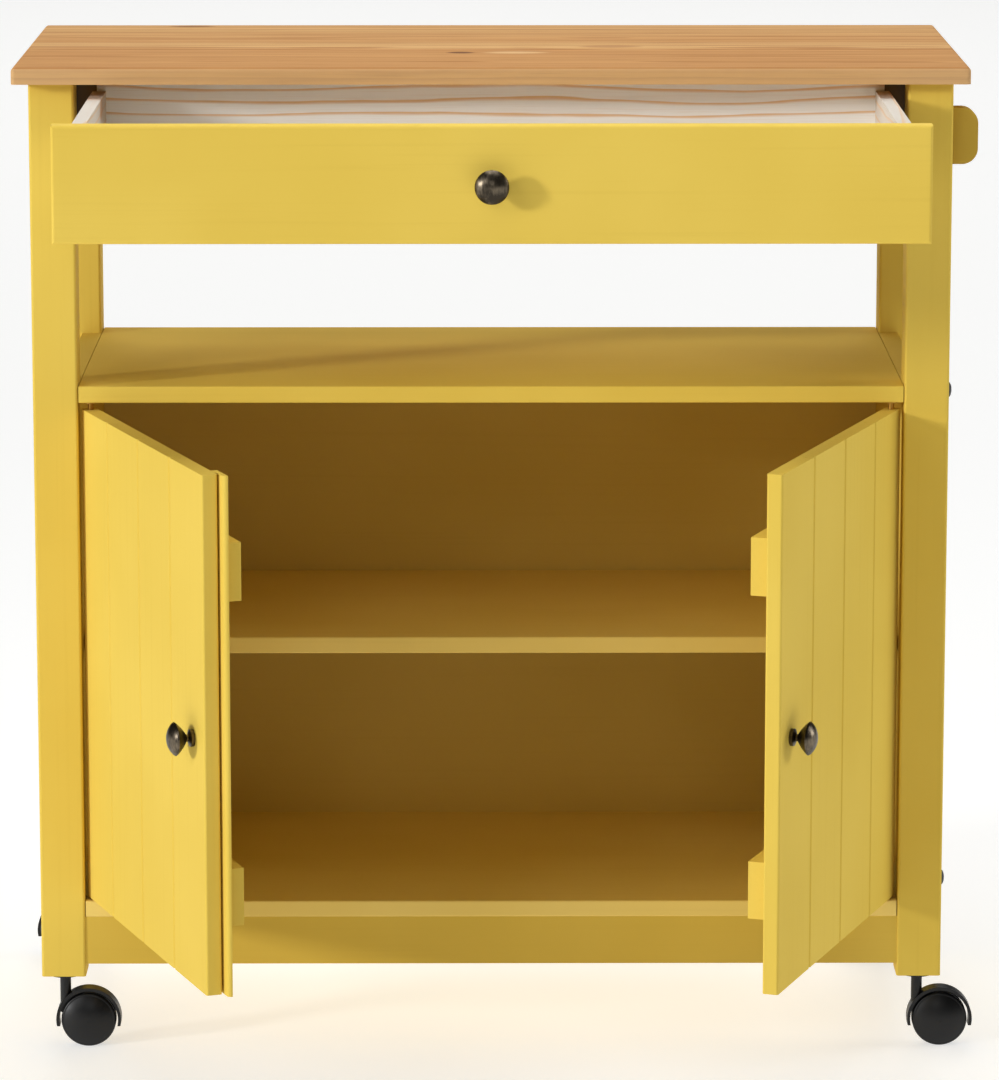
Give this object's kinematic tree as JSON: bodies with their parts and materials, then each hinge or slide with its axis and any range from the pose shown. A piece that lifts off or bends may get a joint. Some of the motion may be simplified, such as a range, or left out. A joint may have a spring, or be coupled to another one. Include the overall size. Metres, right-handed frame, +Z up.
{
  "type": "serving cart",
  "caption": "Wheeled wooden serving cart: worktop over a pull-out drawer, an open bay and a two-door cabinet, with a towel rail on one side and swivel casters.",
  "frame": {"origin": "on the floor, under the middle of the envelope with the drawer and doors open as pictured", "axes": "+Z up; +X to the right as seen from the front; -Y out of the front, the way the drawer opens"},
  "size_m": [0.8792, 0.7121, 0.9],
  "materials": {
    "oiled_pine": "oiled edge-glued pine, satin",
    "yellow_lacquer": "yellow lacquer over wood, satin",
    "bare_pine": "sanded bare pine",
    "antique_bronze": "dark antiqued bronze, rubbed",
    "black_plastic": "moulded black nylon, satin",
    "zinc_steel": "zinc-plated steel",
    "coated_steel": "cream powder coat on folded sheet steel",
    "black_steel": "blackened steel",
    "plain_brass": "plain turned brass",
    "white_nylon": "natural white nylon"
  },
  "bodies": {
    "carcass": {"worktop": "oiled_pine", "front_left_post": "yellow_lacquer", "front_right_post": "yellow_lacquer", "rear_left_post": "yellow_lacquer", "rear_right_post": "yellow_lacquer", "left_side_panel": "yellow_lacquer", "right_side_panel": "yellow_lacquer", "left_top_rail": "yellow_lacquer", "right_top_rail": "yellow_lacquer", "rear_top_rail": "yellow_lacquer", "middle_shelf": "yellow_lacquer", "inner_shelf": "yellow_lacquer", "bottom_board": "yellow_lacquer", "plinth_rail": "yellow_lacquer", "back_panel": "yellow_lacquer", "shelf_pins": "zinc_steel", "front_towel_bracket": "yellow_lacquer", "rear_towel_bracket": "yellow_lacquer", "towel_rod": "bare_pine", "side_bolts": "black_steel", "corner_blocks": "yellow_lacquer", "left_cabinet_runner": "coated_steel", "right_cabinet_runner": "coated_steel", "pivot_bushes": "plain_brass", "caster_sockets": "black_steel"},
    "drawer": {"drawer_front": "yellow_lacquer", "drawer_left_side": "bare_pine", "drawer_right_side": "bare_pine", "drawer_back": "bare_pine", "drawer_bottom": "bare_pine", "drawer_knob": "antique_bronze", "left_drawer_runner": "coated_steel", "right_drawer_runner": "coated_steel"},
    "left_door": {"left_door_boards": "yellow_lacquer", "left_door_battens": "yellow_lacquer", "left_door_strip": "yellow_lacquer", "left_door_knob": "antique_bronze", "left_pivot_pins": "plain_brass"},
    "right_door": {"right_door_boards": "yellow_lacquer", "right_door_battens": "yellow_lacquer", "right_door_knob": "antique_bronze", "right_pivot_pins": "plain_brass"},
    "left_front_roller": {"left_front_roller": "white_nylon"},
    "right_front_roller": {"right_front_roller": "white_nylon"},
    "left_rear_roller": {"left_rear_roller": "white_nylon"},
    "right_rear_roller": {"right_rear_roller": "white_nylon"},
    "front_left_caster": {"front_left_caster_hood": "black_plastic", "front_left_caster_stem": "black_steel"},
    "front_left_wheels": {"front_left_caster_wheels": "black_plastic"},
    "front_right_caster": {"front_right_caster_hood": "black_plastic", "front_right_caster_stem": "black_steel"},
    "front_right_wheels": {"front_right_caster_wheels": "black_plastic"},
    "rear_left_caster": {"rear_left_caster_hood": "black_plastic", "rear_left_caster_stem": "black_steel"},
    "rear_left_wheels": {"rear_left_caster_wheels": "black_plastic"},
    "rear_right_caster": {"rear_right_caster_hood": "black_plastic", "rear_right_caster_stem": "black_steel"},
    "rear_right_wheels": {"rear_right_caster_wheels": "black_plastic"}
  },
  "joints": [
    {"name": "drawer_slide", "type": "slide", "parent": "carcass", "child": "drawer", "axis": [0, -1, 0], "range_m": [-0.284, 0]},
    {"name": "left_door_hinge", "type": "hinge", "parent": "carcass", "child": "left_door", "pos_m": [-0.358, -0.0097, 0.3665], "axis": [0, 0, -1], "range_deg": [-70, 35]},
    {"name": "right_door_hinge", "type": "hinge", "parent": "carcass", "child": "right_door", "pos_m": [0.358, -0.0097, 0.3665], "axis": [0, 0, 1], "range_deg": [-70, 35]},
    {"name": "left_front_roller_spin", "type": "hinge", "parent": "carcass", "child": "left_front_roller", "pos_m": [-0.361, 0.0103, 0.8057], "axis": [1, 0, 0], "range_deg": [-1990, 60]},
    {"name": "right_front_roller_spin", "type": "hinge", "parent": "carcass", "child": "right_front_roller", "pos_m": [0.361, 0.0103, 0.8057], "axis": [1, 0, 0], "range_deg": [-1990, 60]},
    {"name": "left_rear_roller_spin", "type": "hinge", "parent": "drawer", "child": "left_rear_roller", "pos_m": [-0.361, 0.0283, 0.8055], "axis": [1, 0, 0], "range_deg": [-1990, 60]},
    {"name": "right_rear_roller_spin", "type": "hinge", "parent": "drawer", "child": "right_rear_roller", "pos_m": [0.361, 0.0283, 0.8055], "axis": [1, 0, 0], "range_deg": [-1990, 60]},
    {"name": "front_left_caster_swivel", "type": "hinge", "parent": "carcass", "child": "front_left_caster", "pos_m": [-0.389, 0.0013, 0.08], "axis": [0, 0, 1], "continuous": true},
    {"name": "front_left_wheel_spin", "type": "hinge", "parent": "front_left_caster", "child": "front_left_wheels", "pos_m": [-0.368, 0.0013, 0.025], "axis": [0, 1, 0], "continuous": true},
    {"name": "front_right_caster_swivel", "type": "hinge", "parent": "carcass", "child": "front_right_caster", "pos_m": [0.389, 0.0013, 0.08], "axis": [0, 0, 1], "continuous": true},
    {"name": "front_right_wheel_spin", "type": "hinge", "parent": "front_right_caster", "child": "front_right_wheels", "pos_m": [0.41, 0.0013, 0.025], "axis": [0, 1, 0], "continuous": true},
    {"name": "rear_left_caster_swivel", "type": "hinge", "parent": "carcass", "child": "rear_left_caster", "pos_m": [-0.389, 0.3213, 0.08], "axis": [0, 0, 1], "continuous": true},
    {"name": "rear_left_wheel_spin", "type": "hinge", "parent": "rear_left_caster", "child": "rear_left_wheels", "pos_m": [-0.41, 0.3213, 0.025], "axis": [0, 1, 0], "continuous": true},
    {"name": "rear_right_caster_swivel", "type": "hinge", "parent": "carcass", "child": "rear_right_caster", "pos_m": [0.389, 0.3213, 0.08], "axis": [0, 0, 1], "continuous": true},
    {"name": "rear_right_wheel_spin", "type": "hinge", "parent": "rear_right_caster", "child": "rear_right_wheels", "pos_m": [0.368, 0.3213, 0.025], "axis": [0, 1, 0], "continuous": true}
  ],
  "couplings": [
    {"joint": "left_front_roller_spin", "follows": "drawer_slide", "rad_per_m": 117.65},
    {"joint": "right_front_roller_spin", "follows": "drawer_slide", "rad_per_m": 117.65},
    {"joint": "left_rear_roller_spin", "follows": "drawer_slide", "rad_per_m": 117.65},
    {"joint": "right_rear_roller_spin", "follows": "drawer_slide", "rad_per_m": 117.65}
  ]
}
